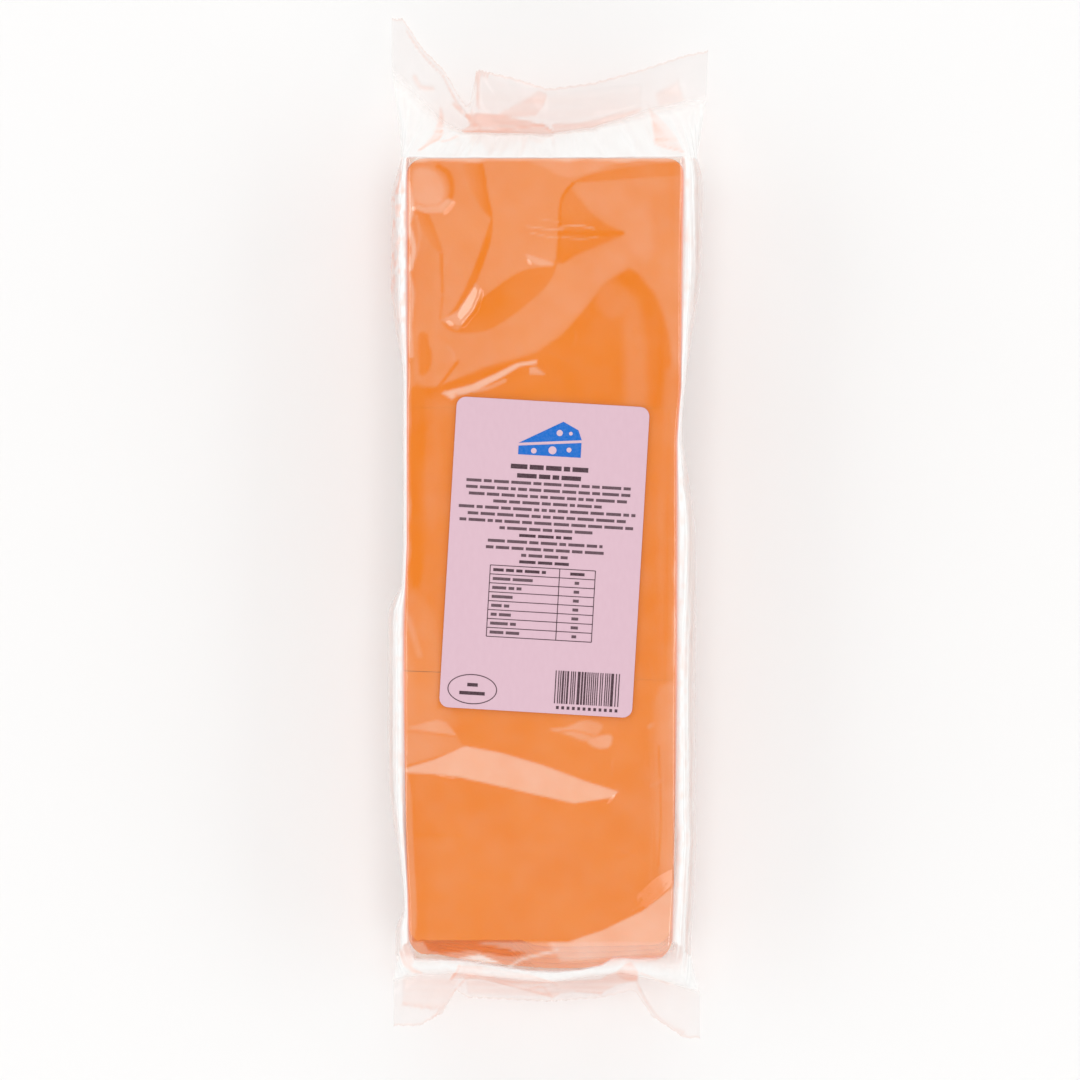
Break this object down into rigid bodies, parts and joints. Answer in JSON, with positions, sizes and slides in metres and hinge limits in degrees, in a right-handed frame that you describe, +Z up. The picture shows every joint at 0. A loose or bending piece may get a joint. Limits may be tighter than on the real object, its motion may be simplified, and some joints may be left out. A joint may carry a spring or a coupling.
{
  "type": "pack of sliced cheese",
  "caption": "Long clear sealed bag holding square stacks of thin orange cheese slices in a row, lying flat with slack folds, flat end seals with ears, and a blank-worded paper label on top.",
  "frame": {"origin": "on the ground under the middle of the bag's bounding box", "axes": "+Z up through the label, +Y along the bag towards the seal above the label's head, +X across the bag to the right as the label faces you"},
  "size_m": [0.1038, 0.332, 0.0423],
  "materials": {
    "sliced_cheese": "smooth waxy orange processed cheese, seen through clear film",
    "clear_film": "clear glossy food film with creases and fused, serrated end seals",
    "paper_label": "smooth pale pink label paper",
    "label_ink": "dark print as bars, rules and ticks, with no lettering",
    "label_blue": "flat blue print of a plain cheese wedge and band"
  },
  "bodies": {
    "root": {"bag": "sliced_cheese", "label": "paper_label"}
  },
  "joints": []
}
